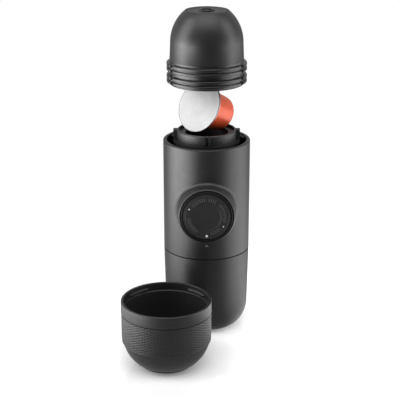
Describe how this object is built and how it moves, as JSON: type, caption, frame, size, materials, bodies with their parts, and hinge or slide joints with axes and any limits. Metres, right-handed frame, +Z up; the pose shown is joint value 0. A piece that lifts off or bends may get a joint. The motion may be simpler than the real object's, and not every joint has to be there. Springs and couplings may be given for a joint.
{
  "type": "handheld manual espresso maker",
  "caption": "Opened handheld espresso maker: pump body with a round piston knob, water tank, lifted outlet head, capsule and separate cup.",
  "frame": {"origin": "centre of the water tank's flat foot, on the machine's axis", "axes": "+Z up along the machine's axis, -Y towards the piston knob"},
  "size_m": [0.087, 0.128, 0.2257],
  "materials": {
    "shell_plastic": "satin",
    "dome_plastic": "satin",
    "tank_plastic": "satin",
    "cup_plastic": "satin",
    "chamber_plastic": "satin",
    "frame_plastic": "matte",
    "knob_plastic": "satin",
    "knob_disc": "satin",
    "natural_plastic": "matte",
    "clear_tube": "satin",
    "black_rubber": "matte",
    "silicone": "matte",
    "flap_silicone": "matte",
    "steel": "satin",
    "orange_aluminium": "satin",
    "foil": "satin",
    "coffee": "matte"
  },
  "bodies": {
    "main_body": {"body_shell": "shell_plastic", "pump_frame": "frame_plastic", "tank_gasket": "black_rubber", "frame_screws": "steel", "pump_cylinder": "steel", "rod_bush": "natural_plastic", "valve_block": "natural_plastic", "inlet_valve": "flap_silicone", "outlet_valve": "flap_silicone", "valve_screws": "steel", "suction_tube": "clear_tube", "inlet_filter": "chamber_plastic", "riser_tube": "clear_tube", "capsule_chamber": "chamber_plastic", "piercing_plate": "steel"},
    "piston": {"piston_rod": "steel", "piston_seal": "black_rubber", "return_spring": "steel"},
    "knob": {"knob_cap": "knob_plastic", "knob_face_disc": "knob_disc", "knob_clip": "steel"},
    "outlet_head": {"outlet_dome": "dome_plastic", "outlet_disc": "chamber_plastic", "outlet_funnel": "frame_plastic", "extraction_plate": "steel", "head_gasket": "silicone"},
    "capsule": {"capsule_cup": "orange_aluminium", "capsule_foil": "foil", "coffee_puck": "coffee"},
    "tank": {"water_tank": "tank_plastic"},
    "drinking_cup": {"cup": "cup_plastic"}
  },
  "joints": [
    {"name": "pump_stroke", "type": "slide", "parent": "main_body", "child": "piston", "axis": [0, -1, 0], "range_m": [0, 0.018], "deforming": ["return_spring"]},
    {"name": "knob_lock", "type": "hinge", "parent": "piston", "child": "knob", "pos_m": [0, -0.0395, 0.0929], "axis": [0, 1, 0], "range_deg": [0, 60]},
    {"name": "head_lift", "type": "slide", "parent": "main_body", "child": "outlet_head", "axis": [0, 0, 1], "range_m": [0, 0.06]},
    {"name": "capsule_out", "type": "slide", "parent": "main_body", "child": "capsule", "axis": [-0.6527, -0.6392, 0.4067], "range_m": [0, 0.06]},
    {"name": "tank_off", "type": "slide", "parent": "main_body", "child": "tank", "axis": [0, 0, -1], "range_m": [0, 0.07]},
    {"name": "cup_lift", "type": "slide", "parent": "main_body", "child": "drinking_cup", "axis": [0, 0, 1], "range_m": [0, 0.028]}
  ],
  "couplings": [
    {"joint": "capsule_out", "follows": "head_lift", "ratio": 1}
  ]
}
